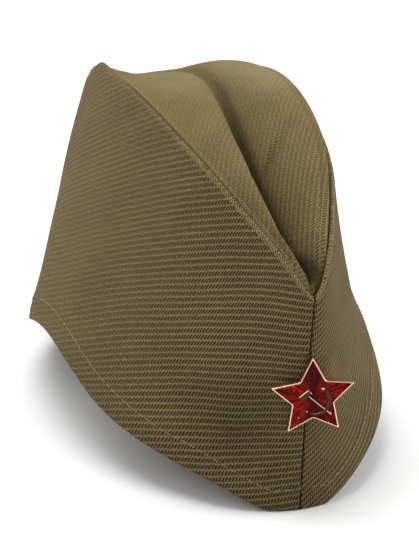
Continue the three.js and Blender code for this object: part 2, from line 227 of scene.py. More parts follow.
def flap_face(side, turn, share):
    """Outer face of a flap in its own half: the straight line from the rim to the top edge at a turn,
    bowed along the plan's normal by a belly that is widest half way up. The top edge swells to a shoulder
    behind its highest place. Gives out, along and up."""
    along = -np.cos(turn)
    rim_out = rim_width / 2 * section("rim_out", turn, True)
    lift = section("rim_lift", turn)
    rim_up = np.maximum(0, rim_arch * lift - foot_drop * (1 - lift))
    edge_out = edge_width / 2 * section(side + "_out", turn, True)
    edge_up = mix(front_height, back_height, (1 + along) / 2) + edge_rise * section(side + "_rise", turn)
    edge_up = edge_up + shoulder_rise[side] * bell(turn, shoulder_turn, shoulder_reach)
    end_belly = np.where(along < 0, front_belly, back_belly)
    belly = 4 * share * (1 - share) * mix(side_belly, end_belly, along**2)
    normal_out = np.sin(turn) / rim_width
    normal_along = along / rim_length
    size = np.hypot(normal_out, normal_along)
    out = mix(rim_out, edge_out, share) + belly * normal_out / size
    run = mix(rim_length / 2 * along, edge_shift + edge_length / 2 * along, share)
    run = run + belly * normal_along / size
    return np.stack(np.broadcast_arrays(out, run, mix(rim_up, edge_up, share)), -1)


def inset_face(side, turn, share, depth):
    """The same point moved level and inwards by a depth of cloth, square to the outline there."""
    step = 0.004
    before = flap_face(side, np.maximum(0, turn - step), share)
    after = flap_face(side, np.minimum(np.pi, turn + step), share)
    point = flap_face(side, turn, share)
    run = np.hypot(after[..., 0] - before[..., 0], after[..., 1] - before[..., 1])
    point[..., 0] -= (after[..., 1] - before[..., 1]) / run * depth
    point[..., 1] += (after[..., 0] - before[..., 0]) / run * depth
    return point


def placed(side, point):
    """A point of one half in the cap, never nearer to the middle than half the seam."""
    out = np.maximum(point[..., 0], seam_gap / 2)
    return np.stack((sides[side] * out, point[..., 1], point[..., 2]), -1)


def unit(vectors):
    """Vectors of the same heading and length 1."""
    return vectors / np.linalg.norm(vectors, axis=-1, keepdims=True)


def normals_of(grid):
    """Unit normals of a grid of points, from the cross product of its two directions."""
    across = np.gradient(grid, axis=1)
    up = np.gradient(grid, axis=0)
    normal = np.cross(across, up)
    return normal / np.maximum(np.linalg.norm(normal, axis=-1, keepdims=True), 1e-9)


def arc_length(points, axis):
    """Length along a row of points, from its first point."""
    steps = np.linalg.norm(np.diff(points, axis=axis), axis=-1)
    start = np.zeros_like(np.take(steps, [0], axis=axis))
    return np.concatenate((start, np.cumsum(steps, axis=axis)), axis=axis)


def grid_faces(rows, columns, start=0, flip=False):
    """Four-cornered faces of a grid of points that is stored row by row."""
    index = np.arange(rows * columns).reshape(rows, columns) + start
    faces = np.stack((index[:-1, :-1], index[:-1, 1:], index[1:, 1:], index[1:, :-1]), -1).reshape(-1, 4)
    return faces[:, ::-1] if flip else faces


def border_faces(rows, columns, start):
    """Faces that join the borders of two grids of the same size, stored one after the other."""
    index = np.arange(rows * columns).reshape(rows, columns)
    ring = np.concatenate((index[0, :-1], index[:-1, -1], index[-1, :0:-1], index[:0:-1, 0]))
    after = np.roll(ring, -1)
    return np.stack((after, ring, ring + start, after + start), -1)


def make_piece(name, points, faces, material, maps, sharp=40.0):
    """Puts points and faces into a mesh, welds its doubles and turns its faces outwards."""
    mesh = bpy.data.meshes.new(name)
    mesh.from_pydata((points + cap_shift) * 0.001, [], faces.tolist())
    corners = np.empty(len(mesh.loops), np.int32)
    mesh.loops.foreach_get("vertex_index", corners)
    for map_name, places in maps.items():
        layer = mesh.uv_layers.new(name=map_name)
        layer.uv.foreach_set("vector", places[corners].astype(np.float32).ravel())
    work = bmesh.new()
    work.from_mesh(mesh)
    bmesh.ops.remove_doubles(work, verts=work.verts, dist=2e-6)
    bmesh.ops.dissolve_degenerate(work, edges=work.edges, dist=1e-6)
    bmesh.ops.recalc_face_normals(work, faces=work.faces)
    work.to_mesh(mesh)
    work.free()
    mesh.shade_smooth()
    mesh.set_sharp_from_angle(angle=math.radians(sharp))
    piece = bpy.data.objects.new(name, mesh)
    bpy.context.collection.objects.link(piece)
    mesh.materials.append(material)
    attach(piece, "root")
    return piece


def make_shell(name, outer, inner, maps, material, sharp=40.0):
    """A closed piece from the grids of its two faces, which share their maps."""
    rows, columns = outer.shape[:2]
    count = rows * columns
    points = np.concatenate((outer.reshape(-1, 3), inner.reshape(-1, 3)))
    faces = np.concatenate((grid_faces(rows, columns), grid_faces(rows, columns, count, True),
                            border_faces(rows, columns, count)))
    doubled = {key: np.concatenate([places.reshape(-1, 2)] * 2) for key, places in maps.items()}
    return make_piece(name, points, faces, material, doubled, sharp)


class Finish:
    """A material whose nodes are written as sums."""

    def __init__(self, name, values):
        self.material = bpy.data.materials.new(name)
        self.material.use_nodes = True
        self.tree = self.material.node_tree
        self.tree.nodes.clear()
        self.shader = self.node("ShaderNodeBsdfPrincipled")
        output = self.node("ShaderNodeOutputMaterial")
        self.tree.links.new(self.shader.outputs["BSDF"], output.inputs["Surface"])
        for key, value in values.items():
            self.shader.inputs[key].default_value = value

    def node(self, kind, **settings):
        node = self.tree.nodes.new(kind)
        for key, value in settings.items():
            setattr(node, key, value)
        return node

    def put(self, socket, value):
        if isinstance(value, bpy.types.NodeSocket):
            self.tree.links.new(value, socket)
        else:
            socket.default_value = value

    def math(self, operation, *values):
        node = self.node("ShaderNodeMath", operation=operation)
        for socket, value in zip(node.inputs, values):
            self.put(socket, value)
        return node.outputs[0]

    def add(self, *values):
        return self.math("ADD", *values)

    def times(self, *values):
        return self.math("MULTIPLY", *values)

    def rest(self, share):
        """What a share leaves of 1."""
        return self.math("SUBTRACT", 1.0, share)

    def ramp(self, value, low, high, first=0.0, second=1.0):
        """Smooth change from first to second as value goes from low to high."""
        node = self.node("ShaderNodeMapRange", interpolation_type="SMOOTHSTEP")
        names = ("Value", "From Min", "From Max", "To Min", "To Max")
        for name, number in zip(names, (value, low, high, first, second)):
            self.put(node.inputs[name], number)
        return node.outputs[0]

    def wave(self, turns):
        """A sine between 0 and 1 that repeats once a turn."""
        return self.math("MULTIPLY_ADD", self.math("SINE", self.times(turns, 2 * math.pi)), 0.5, 0.5)

    def noise(self, place, scale, detail):
        node = self.node("ShaderNodeTexNoise")
        self.put(node.inputs["Vector"], place)
        node.inputs["Scale"].default_value = scale
        node.inputs["Detail"].default_value = detail
        return node.outputs["Fac"]

    def uv(self, name):
        """A UV map's place, and its two numbers."""
        place = self.node("ShaderNodeUVMap", uv_map=name).outputs["UV"]
        parts = self.node("ShaderNodeSeparateXYZ")
        self.put(parts.inputs[0], place)
        return place, parts.outputs["X"], parts.outputs["Y"]

    def part(self, vector, name):
        """One of the three numbers of a vector."""
        parts = self.node("ShaderNodeSeparateXYZ")
        self.put(parts.inputs[0], vector)
        return parts.outputs[name]

    def distance(self, vector, spot):
        """How far a place is from a fixed spot."""
        node = self.node("ShaderNodeVectorMath", operation="DISTANCE")
        self.put(node.inputs[0], vector)
        node.inputs[1].default_value = spot
        return node.outputs["Value"]

    def colours(self, share, first, second):
        """The colour at a share of the way from first to second."""
        node = self.node("ShaderNodeMix", data_type="RGBA")
        self.put(node.inputs["Factor"], share)
        for socket, value in ((node.inputs[6], first), (node.inputs[7], second)):
            if isinstance(value, tuple):
                value = (*value, 1.0)
            self.put(socket, value)
        return node.outputs[2]

    def paint(self, colour):
        self.put(self.shader.inputs["Base Color"], colour)

    def bump(self, height, distance, strength):
        node = self.node("ShaderNodeBump")
        node.inputs["Strength"].default_value = strength
        node.inputs["Distance"].default_value = distance
        self.put(node.inputs["Height"], height)
        self.put(self.shader.inputs["Normal"], node.outputs["Normal"])


# Rust stain on the left flap by the badge, painted shade in the right flap's dent: place and reach in metres
rust_spot = (0.0132, -0.1133, 0.0478)
rust_reach = (0.003, 0.0085)
dimple_shade_spot = (-0.024, -0.1055, 0.035)
dimple_shade_reach = (0.002, 0.026)
# Where the yarns lose their crispness along the cap, and the heights of the painted light and painted shade
crisp_reach = (-0.1, 0.02)
top_light_reach = (0.12, 0.127)
foot_shade_reach = (0.0, 0.075)
# The band's width at the top edge, where it fades along the flap, and the seam's shade, in centimetres
band_reach = (0.15, 0.2)
band_fade = (5.5, 9.5)
band_pitch = (1.3, 1.7)
seam_shade_reach = (0.06, 0.13)

# Colours of the cloth
ridge_tone = (0.185, 0.139, 0.064)
yarn_tone = (0.118, 0.087, 0.038)
gap_tone = (0.015, 0.0105, 0.0045)
soft_ridge_tone = (0.185, 0.138, 0.06)
soft_yarn_tone = (0.16, 0.119, 0.05)
soft_gap_tone = (0.055, 0.04, 0.017)
# Painted shade for the crown's crease and wrinkle
crease_shade_tone = (0.032, 0.023, 0.01)
# Painted light for the crown's highest cloth
top_light_tone = (0.36, 0.3, 0.19)
rust_tone = (0.2, 0.095, 0.033)
cloth_values = {
    "Roughness": 0.93,
    "Sheen Weight": 0.05,
    "Sheen Roughness": 0.5,
    "Sheen Tint": (0.75, 0.62, 0.38, 1),
    "Specular IOR Level": 0.1,
}


def twill(name, ridge_colour, yarn_colour, gap_colour, contrast=1.0, banded=False, calmed=False):
    """Ribbed twill. Across the ribs a cosine makes a thin bright ridge, which waves with the yarns, and a
    broad valley, where slanted yarns alternate with dark gaps. The weave map's first number runs along the
    ribs and its second across them, in centimetres. The place map's numbers are the distances from a flap's
    top edge and from its nearer seam, in centimetres too, and a narrow band of slanted yarns covers that
    edge, whose light yarns are painted brighter than the cloth as a painted highlight. Where the calm map's
    first number is 1, the ribs wear down by a quarter, and where its second is 1, the cloth is painted dark
    as painted shade in a crease. The crown's highest cloth is painted lighter, as painted light from above."""
    finish = Finish(name, cloth_values)
    place, along, across = finish.uv("weave")
    spot = finish.node("ShaderNodeTexCoord").outputs["Object"]
    # The dark gaps fade towards the back: partly the weave's own contrast, partly painted shade on the front
    crispness = finish.ramp(finish.part(spot, "Y"), *crisp_reach, 1.0, 0.4)
    wander = finish.noise(place, 0.3, 1.0)
    ribs = finish.add(finish.times(across, 10 / rib_pitch), finish.times(wander, 1.0))
    jitter = finish.noise(place, 2.6, 2.0)
    yarns = finish.add(finish.times(along, 10 / yarn_pitch), finish.times(jitter, 1.1))
    slanted = finish.wave(finish.math("SUBTRACT", yarns, ribs))
    ridge = finish.wave(finish.add(ribs, finish.times(slanted, 0.14)))
    grain = finish.noise(place, 16.0, 3.0)
    speckle = finish.noise(place, 15.0, 3.0)
    ridge_share = finish.ramp(finish.add(ridge, finish.times(grain, 0.5)), 0.86, 1.22)
    ridge_share = finish.times(ridge_share, finish.math("MULTIPLY_ADD", crispness, 0.45, 0.4))
    yarn_share = finish.ramp(finish.add(slanted, finish.times(grain, 0.6)), 0.5, 0.95)
    gap_share = finish.times(finish.rest(yarn_share), crispness)
    if calmed:
        crisp = finish.math("MULTIPLY_ADD", finish.uv("calm")[1], -0.25, 1.0)
        gap_share = finish.times(gap_share, crisp)
        ridge_share = finish.times(ridge_share, crisp)
    valley = finish.colours(gap_share, yarn_colour, gap_colour)
    valley = finish.colours(finish.math("MULTIPLY_ADD", crispness, -0.3, 0.3), valley, ridge_colour)
    colour = finish.colours(ridge_share, valley, ridge_colour)
    in_valley = finish.times(slanted, finish.rest(ridge_share))
    height = finish.add(finish.times(ridge, 0.6), finish.times(in_valley, 0.5))
    if banded:
        _, from_edge, from_seam = finish.uv("place")
        leaning, rising = (10 / pitch for pitch in band_pitch)
        lean = finish.add(finish.times(from_seam, leaning), finish.times(from_edge, rising))
        zigzag = finish.wave(finish.add(lean, finish.times(jitter, 1.8)))
        band_share = finish.ramp(finish.add(zigzag, finish.times(speckle, 1.2)), 0.75, 1.15)
        dark_yarn = tuple(0.3 * c for c in yarn_colour)
        # The band's slanted yarns are the weave's own, and their brightness is a painted highlight on the
        # edge
        band_colour = finish.colours(band_share, dark_yarn, tuple(1.6 * c for c in ridge_colour))
        band = finish.ramp(finish.add(from_edge, finish.times(grain, 0.1)), *band_reach, 1.0, 0.0)
        band = finish.times(band, finish.ramp(from_seam, *band_fade, 1.0, 0.25))
        colour = finish.colours(band, colour, band_colour)
        height = finish.add(finish.times(height, finish.rest(band)), finish.times(zigzag, band))
        rust = finish.ramp(finish.distance(spot, rust_spot), *rust_reach, 0.8, 0.0)
        rust = finish.times(rust, finish.ramp(speckle, 0.4, 0.56))
        colour = finish.colours(rust, colour, rust_tone)
        # Painted shade in the right flap's dent beside the badge
        dimple_shade = finish.ramp(finish.distance(spot, dimple_shade_spot), *dimple_shade_reach, 0.3, 0.0)
        colour = finish.colours(dimple_shade, colour, gap_colour)
        seam_place = finish.add(from_seam, finish.times(grain, 0.05))
        seam_shade = finish.ramp(seam_place, *seam_shade_reach, 0.95, 0.0)
        colour = finish.colours(seam_shade, colour, gap_colour)
    if calmed:
        # Painted shade in the crown's crease and wrinkle
        painted_fold_shade = finish.times(finish.uv("calm")[2], 0.85)
        colour = finish.colours(painted_fold_shade, colour, crease_shade_tone)
        # Painted light: the crown's highest cloth is lighter
        top_light = finish.ramp(finish.part(spot, "Z"), *top_light_reach, 0.0, 0.22)
        colour = finish.colours(top_light, colour, top_light_tone)
    cloudy = finish.noise(place, 0.5, 3.0)
    tone = finish.ramp(cloudy, 0.3, 0.7, 0.93, 1.07)
    fleck = finish.ramp(speckle, 0.3, 0.7, 0.72, 1.28)
    # Painted shade: the cloth is darker towards the foot
    foot_shade = finish.ramp(finish.part(spot, "Z"), *foot_shade_reach, 0.93, 1.0)
    scaled = finish.node("ShaderNodeVectorMath", operation="SCALE")
    finish.put(scaled.inputs[0], colour)
    finish.put(scaled.inputs["Scale"], finish.times(finish.times(tone, fleck), foot_shade))
    finish.paint(scaled.outputs[0])
    finish.bump(finish.add(height, finish.times(grain, 0.35)), 0.00035, 0.8 * contrast)
    return finish.material


flap_twill = twill("flap_twill", ridge_tone, yarn_tone, gap_tone, banded=True)
crown_twill = twill("crown_twill", soft_ridge_tone, soft_yarn_tone, soft_gap_tone, 0.5, calmed=True)


def plain_thread(name, colour):
    """Twisted thread: slanted light and dark bands along the stitch."""
    finish = Finish(name, {"Roughness": 0.7})
    _, along, around = finish.uv("thread")
    twist = finish.wave(finish.add(finish.times(along, 10 / 0.5), around))
    dark = tuple(0.6 * c for c in colour)
    finish.paint(finish.colours(twist, dark, colour))
    finish.bump(twist, 0.00005, 0.5)
    return finish.material


pale_thread = plain_thread("pale_thread", (0.32, 0.28, 0.2))
khaki_thread = plain_thread("khaki_thread", (0.24, 0.185, 0.1))

# Turns for the columns of a flap, closer together at the two seams
column_count = 405
column_crowding = 0.7
column_share = np.linspace(0, 1, column_count)
column_turn = np.pi * (column_share - column_crowding / (2 * np.pi) * np.sin(2 * np.pi * column_share))
# Rows of a flap's face between its rolled edges: from and to a share of the height, and how many
face_rows = ((0.0, 0.18, 24), (0.18, 0.9, 66), (0.9, 1.0, 18))


def flap_weave(side, turn, share):
    """Weave map of a flap, in centimetres. Its run is the level length from the front seam and its rise the
    slant height. A rib starts at the seam under one angle and turns steadily over its reach, so the place
    across the ribs is the rise less the rib's own rise, which is the sum of a line and a parabola. The
    yarns that cross the ribs spread with the distance from the front seam, as a logarithm of the run."""
    every = np.linspace(0, np.pi, 1501)
    middle = flap_face(side, every, 0.5)
    ahead = unit(np.gradient(middle[:, :2], axis=0))
    window = np.hanning(141)
    window /= window.sum()
    padded = np.pad(ahead, ((70, 70), (0, 0)), mode="edge")
    ahead = np.stack([np.convolve(padded[:, axis], window, "valid") for axis in (0, 1)], -1)
    arc = arc_length(middle[:, :2], 0)
    foot, top, half = (flap_face(side, turn, s) for s in (0.0, 1.0, 0.5))
    slant = top - foot
    point = flap_face(side, turn, share)
    along_out = np.interp(turn, every, ahead[:, 0])
    along_run = np.interp(turn, every, ahead[:, 1])
    shift = point - half
    run = np.interp(turn, every, arc) + shift[..., 0] * along_out + shift[..., 1] * along_run
    leaning = slant[..., 0] * along_run - slant[..., 1] * along_out
    rise = point[..., 2] * np.hypot(leaning, slant[..., 2]) / slant[..., 2]
    first, turning = rib_slopes[side]
    reach = rib_reach[side]
    near = np.minimum(run, reach)
    rib = first * near + turning * near**2 / 2 + (first + turning * reach) * (run - near)
    across = rise - sides[side] * rib
    spread = yarn_spread * np.log1p(arc_length(point, 1) / yarn_spread)
    along = sides[side] * spread + rise * math.sin(first)
    return np.stack((along, across), -1) / 10


def cloth_ripples(run, rise, phase):
    """Slow waves of the cloth: three crossing sines of falling height."""
    return sum(height * np.sin(run / level + rise / steep + share * phase)
               for height, level, steep, share in ripple_waves)


def flap_grids(side):
    """Both faces of a flap. The rim and the top edge are half circles across the cloth's thickness, and by
    the two seams the outer face turns in on a quarter circle."""
    turn = column_turn[None, :]
    height = flap_face(side, turn, 1.0)[..., 2] - flap_face(side, turn, 0.0)[..., 2]
    radius = flap_thickness / 2
    roll = np.linspace(0, np.pi / 2, 7)[:, None]
    rim_share = radius * (1 - np.sin(roll[::-1])) / height
    edge_share = 1 - radius * (1 - np.sin(roll)) / height
    steps = np.concatenate([np.linspace(first, last, count)[1:] for first, last, count in face_rows])
    face_share = mix(rim_share[-1:], edge_share[:1], steps[:-1, None])
    share = np.concatenate((rim_share, face_share, edge_share))
    flat = np.zeros_like(face_share)
    rolled = radius * (1 - np.cos(roll)) * np.ones_like(height)
    depth = np.concatenate((rolled[::-1], flat, rolled))
    level = np.clip(np.minimum(share, 1 - share) * height / 4, 0, 1)
    plan = flap_face(side, turn, share)
    to_seam = np.minimum(plan[..., 0], seam_round)
    groove = seam_round - np.sqrt(np.maximum(seam_round**2 - (seam_round - to_seam) ** 2, 0))
    curl = sum(curl_depth * smooth((turn - start) / reach) for curl_depth, start, reach in foot_curls)
    curl = curl * np.clip(1 - share * height / foot_curl_height, 0, 1) ** 2
    outer = placed(side, inset_face(side, turn, share, depth + curl + groove * (1 - depth / radius)))
    inner = placed(side, inset_face(side, turn, share, flap_thickness + curl - depth))
    run = arc_length(flap_face(side, column_turn, 0.5), 0)[None, :]
    rise = share * height
    detail = cloth_ripples(run, rise, ripple_phase[side]) * smooth(plan[..., 0] / 12)
    detail -= hem_dent * bell(rise, hem_height, hem_dent_reach)
    dent, run_place, run_reach, rise_place, rise_reach = flap_dents[side]
    detail += dent * bell(run, run_place, run_reach) * bell(rise, rise_place, rise_reach)
    to_edge = height * (1 - share)
    both_edges = sum(bell(near, edge_swell_reach, edge_swell_reach) for near in (to_edge, rise))
    swell = edge_swell * both_edges * smooth(plan[..., 0] / 3)
    outward = normals_of(outer) * -sides[side]
    outer = outer + outward * (detail * level + swell)[..., None]
    return outer, inner, share, rise, to_edge


def at_places(values, reach, places):
    """A path's rows of three values, at places along its length."""
    return np.stack([np.interp(places, reach, values[:, axis]) for axis in range(3)], -1)


def stitches(name, path, outward, material, length, pitch, radius, sink):
    """Stitches along a path: each is a spindle whose radius follows a half circle from end to end, pressed
    down at its ends, turned into the path's direction, all of them in one mesh."""
    reach = arc_length(path, 0)
    centres = np.arange(pitch, reach[-1] - pitch, pitch)
    middle = at_places(path, reach, centres)
    ahead = unit(at_places(path, reach, centres + 0.4) - middle)
    up = at_places(outward, reach, centres)
    up = unit(up - (up * ahead).sum(-1, keepdims=True) * ahead)
    over = np.cross(ahead, up)
    rings = np.linspace(-1, 1, 7)
    angles = np.linspace(0, 2 * np.pi, 9)
    swell = radius * np.sqrt(np.maximum(1 - rings**4, 0))[None, :, None, None]
    lengthwise = (rings * length / 2)[None, :, None, None] * ahead[:, None, None, :]
    press = (-sink * rings**2)[None, :, None, None] * up[:, None, None, :]
    around = up[:, None, None, :] * np.cos(angles)[None, None, :, None]
    around = around + over[:, None, None, :] * np.sin(angles)[None, None, :, None]
    points = middle[:, None, None, :] + lengthwise + press + swell * around
    count = len(centres)
    one = grid_faces(len(rings), len(angles))
    faces = (one[None] + (np.arange(count) * len(rings) * len(angles))[:, None, None]).reshape(-1, 4)
    along = np.broadcast_to((rings * length / 20)[None, :, None], points.shape[:3])
    turns = np.broadcast_to((angles / (2 * np.pi))[None, None, :], points.shape[:3])
    maps = {"thread": np.stack((along, turns), -1).reshape(-1, 2)}
    return make_piece(name, points.reshape(-1, 3), faces, material, maps)


def make_flap(side):
    """A turned-up flap with its hem's thread."""
    outer, inner, share, rise, to_edge = flap_grids(side)
    weave = flap_weave(side, np.broadcast_to(column_turn, share.shape), share)
    run = arc_length(outer, 1)
    from_seam = np.minimum(run, run[:, -1:] - run)
    place = np.stack((to_edge / 10, from_seam / 10), -1)
    maps = {"weave": weave, "place": place}
    piece = make_shell("cloth_flap_" + side, outer, inner, maps, flap_twill)
    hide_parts("flap_" + side)
    outward = normals_of(outer) * -sides[side]
    row = np.argmin(np.abs(rise - hem_height), axis=0)
    columns = np.arange(outer.shape[1])
    middle = slice(12, -12)
    path = outer[row, columns][middle] + outward[row, columns][middle] * thread_lift
    path[:, 2] = np.convolve(np.pad(path[:, 2], 4, mode="edge"), np.ones(9) / 9, mode="valid")
    thread = stitches("hem_thread_" + side, path, outward[row, columns][middle], pale_thread,
                      stitch_length, stitch_pitch, stitch_radius, stitch_sink)


for side in sides:
    make_flap(side)

# How far the rows of the walls and the crown spread out again from their ends
end_spread = 0.05


def crowded(count):
    """Places from 0 to 1 that crowd towards both ends."""
    share = np.linspace(0, 1, count)
    return (1 - np.cos(np.pi * (share - end_spread * np.sin(2 * np.pi * share)))) / 2


def wall_row(side, share, depth, count):
    """A level row of a crown wall: the inset outline at one share of the height, from where it leaves the
    middle at the front to where it meets it again at the back, at places crowded towards both ends. Gives
    the row's points and their turns."""
    turn = np.linspace(0, np.pi, 1801)
    points = inset_face(side, turn, share, depth)
    rising = np.concatenate(([False], np.diff(points[:, 1]) > 0))
    inside = np.flatnonzero((points[:, 0] > seam_gap / 2) & rising)
    kept = slice(inside[0], inside[-1] + 1)
    points = points[kept]
    along = mix(points[0, 1], points[-1, 1], crowded(count))
    out = np.interp(along, points[:, 1], points[:, 0])
    up = np.interp(along, points[:, 1], points[:, 2])
    return np.stack((out, along, up), -1), np.interp(along, points[:, 1], turn[kept])


def make_wall(side):
    """A crown wall inside a flap, with its top turned over on half circles across its thickness."""
    count = 300
    start = crown_tuck / front_height
    radius = crown_thickness / 2
    roll = np.linspace(0, np.pi / 2, 5)
    levels = [(share, 0.0, 0.0) for share in np.linspace(start, 1, 22)]
    levels += [(1.0, radius * (1 - math.cos(a)), radius * math.sin(a)) for a in roll[1:]]
    share, _, lift = (np.array(values)[:, None] for values in zip(*levels))
    outer = np.stack([wall_row(side, s, wall_depth + d, count)[0] for s, d, _ in levels])
    inner = np.stack([wall_row(side, s, wall_depth + crown_thickness - d, count)[0] for s, d, _ in levels])
    for face in (outer, inner):
        top = border_rise(side, face[..., 1]) - crown_thickness - layer_gap - radius
        face[..., 2] += share * top + lift
    outer = placed(side, outer)
    inner = placed(side, inner)
    turn = wall_row(side, 0.5, wall_depth, count)[1][None, :]
    weave = flap_weave(side, *np.broadcast_arrays(turn, share))
    maps = {"weave": weave, "calm": np.zeros_like(weave)}
    piece = make_shell("cloth_wall_" + side, outer, inner, maps, crown_twill)
    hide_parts("crown_wall_" + side)


for side in sides:
    make_wall(side)


def crown_grids():
    """Both faces of the crown's top. Across the cap its half by the right flap drops steeply into the fold
    as a power curve, the other half slopes gently out of it, and each half swells by its lobe. Its borders
    turn over on half circles, with a seam's roll and groove beside the far one."""
    rows = 280
    right, left = (wall_row(side, 1.0, wall_depth, 1200)[0] for side in ("right", "left"))
    start = max(right[0, 1], left[0, 1])
    end = min(right[-1, 1], left[-1, 1])
    along = mix(start, end, crowded(rows))
    turn = turn_at(along)
    right_out, right_up = (np.interp(along, right[:, 1], right[:, axis]) for axis in (0, 2))
    left_out, left_up = (np.interp(along, left[:, 1], left[:, axis]) for axis in (0, 2))
    right_out, left_out = right_out + border_reach, left_out + border_reach
    ledge = crown_thickness + layer_gap
    half_width = np.minimum(right_out, left_out)
    level = 1 - smooth((half_width - ledge) / ledge)
    highest = np.maximum(right_up, left_up)
    right_up = mix(right_up, highest, level) + border_rise("right", along)
    left_up = mix(left_up, highest, level) + border_rise("left", along)
    narrow = smooth((half_width - ledge) / (0.6 * fold_depth))
    drop = fold_depth * fold("fold_down", turn) * narrow
    fold_at = fold("fold_at", turn)
    nearest = -right_out + np.minimum(2 * ledge + crown_thickness, right_out)
    fold_out = np.maximum(fold_at * np.where(fold_at < 0, right_out, left_out), nearest)
    fold_up = mix(right_up, left_up, (1 + fold_at) / 2) - drop
    radius = crown_thickness / 2

    def half(out, up, steepness, lobe, share):
        shelf = out - np.sign(out) * np.minimum(ledge, np.abs(out) / 2)
        bump = lobe_rise * fold(lobe, turn) * narrow
        x = mix(fold_out[:, None], shelf[:, None], share)
        z = mix(fold_up[:, None], up[:, None], 1 - (1 - share) ** steepness)
        z = z + bump[:, None] * 4 * share * (1 - share)
        flat = np.linspace(0, 1, 6)[None, 1:]
        border = (out - np.sign(out) * np.minimum(radius, np.abs(out) / 3))[:, None]
        x_flat = mix(shelf[:, None], border, flat)
        z_flat = np.broadcast_to(up[:, None], x_flat.shape)
        return np.concatenate((x, x_flat), 1), np.concatenate((z, z_flat), 1)

    near_share = (np.linspace(0, 1, 70) ** 2.1)[None, :]
    far_share = (np.linspace(0, 1, 84) ** 1.6)[None, :]
    near_x, near_z = half(-right_out, right_up, fold_steepness, "right_lobe", near_share)
    far_x, far_z = half(left_out, left_up, far_steepness, "left_lobe", far_share)
    x = np.concatenate((near_x[:, :0:-1], far_x), 1)
    z = np.concatenate((near_z[:, :0:-1], far_z), 1)
    crease = crease_depth * (fold("crease", turn) * narrow)[:, None]
    crease_out = fold_out[:, None] + 0.8 * crease_width
    z = z - crease * bell(x, crease_out, crease_width)
    y = np.broadcast_to(along[:, None], x.shape)
    from_border = np.minimum(x + right_out[:, None], left_out[:, None] - x)
    wide = smooth((half_width - 6) / 8)[:, None]
    from_far = left_out[:, None] - x
    seam = sum(lift * bell(from_far, place, reach) for lift, place, reach in (ridge_roll, ridge_groove))
    z = z + wide * seam
    off_x, off_y = x - wrinkle_place[0], y - wrinkle_place[1]
    wrinkle_off = off_x * wrinkle_heading[0] - off_y * wrinkle_heading[1]
    wrinkle_run = off_x * wrinkle_heading[1] + off_y * wrinkle_heading[0]
    wrinkle = wide * bell(wrinkle_off, 0, wrinkle_reach[0]) * bell(wrinkle_run, 0, wrinkle_reach[1])
    z = z - wrinkle_depth * wrinkle
    z = z + wide * cloth_ripples(y * 1.2, x * 1.5, ripple_phase["crown"]) * smooth(from_border / 6)
    # Painted shade: the cloth is darkened in and beside the crease and in the wrinkle
    fold_shade_reach = np.where(x > crease_out, crease_shade_reach["far"], crease_shade_reach["near"])
    crease_shade_band = crease_shade_share * bell(x, crease_out, fold_shade_reach)
    crease_shade_band = crease_shade_band + stripe_shade * bell(x, crease_out + stripe_shift, stripe_reach)
    painted_fold_shade = np.clip(fold("crease", turn), 0, 1)[:, None] * crease_shade_band + wrinkle_shade * wrinkle
    worn_and_shade = np.stack((1 - smooth((x - crease_out) / 3), np.clip(painted_fold_shade, 0, 1)), -1)
    return np.stack((x, y, z), -1), worn_and_shade, radius


def make_crown():
    """The crown's top panel, its two faces joined by rounded borders."""
    top, worn_and_shade, radius = crown_grids()
    normal = normals_of(top)
    normal *= np.sign(normal[..., 2:3])
    under = top - normal * crown_thickness
    roll = np.linspace(0, np.pi / 2, 5)[1:]

    def border(column, side):
        edge = top[:, column]
        x = edge[:, None, 0] + side * radius * np.sin(roll)[None, :]
        y = np.broadcast_to(edge[:, None, 1], x.shape)
        sunk = radius * (1 - np.cos(roll))[None, :]
        upper = np.stack((x, y, edge[:, None, 2] - sunk), -1)
        lower = np.stack((x, y, edge[:, None, 2] - crown_thickness + sunk), -1)
        return upper, lower

    near_upper, near_lower = border(0, -1)
    far_upper, far_lower = border(-1, 1)
    under[:, 0] = top[:, 0] - (0, 0, crown_thickness)
    under[:, -1] = top[:, -1] - (0, 0, crown_thickness)
    outer = np.concatenate((near_upper[:, ::-1], top, far_upper), 1)
    inner = np.concatenate((near_lower[:, ::-1], under, far_lower), 1)
    x = outer[..., 0]
    y = outer[..., 1]
    along = y * math.cos(crown_rib_angle) + x * math.sin(crown_rib_angle)
    turned = x - crown_rib_turn * (y + crown_rib_start) ** 2 / 2
    over = turned * math.cos(crown_rib_angle) - y * math.sin(crown_rib_angle)
    weave = np.stack((along, over * rib_pitch / crown_rib_pitch), -1) / 10
    worn_and_shade = np.pad(worn_and_shade, ((0, 0), (len(roll), len(roll)), (0, 0)), mode="edge")
    maps = {"weave": weave, "calm": worn_and_shade}
    piece = make_shell("cloth_crown", outer, inner, maps, crown_twill)
    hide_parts("crown_top")
    row = np.argmin(np.abs(top[..., 0] - top[:, -1:, 0] + topstitch_inset), axis=1)
    rows = np.arange(len(top))
    path = top[rows, row]
    kept = (path[:, 1] > topstitch_reach[0]) & (path[:, 1] < topstitch_reach[1])
    outward = normal[rows, row][kept]
    thread = stitches("crown_thread", path[kept] + outward * thread_lift, outward, khaki_thread,
                      topstitch_length, topstitch_pitch, topstitch_radius, topstitch_sink)


make_crown()

# Star badge, in its own plane: x to the viewer's right, y up and z towards the viewer
star_radius = 14.4
notch_share = 0.5
edge_points = 22
star_side = 1.2
star_height = 42.9
star_foot = -110.095
star_yaw = math.radians(-11.5)
star_lean = math.radians(4.885)
star_roll = math.radians(2.3)
blade_centre = np.array([1.1, -1.1])
blade_radii = np.array([4.2, 4.87])
blade_ends = (1.22, -2.35)
grip_end = np.array([-4.95, -6.85])
head_ends = np.array([[-4.15, -0.35], [-0.75, 2.25]])
head_half_width = 1.12
handle_start = np.array([-1.7, 1.0])
handle_end = np.array([5.9, -6.4])
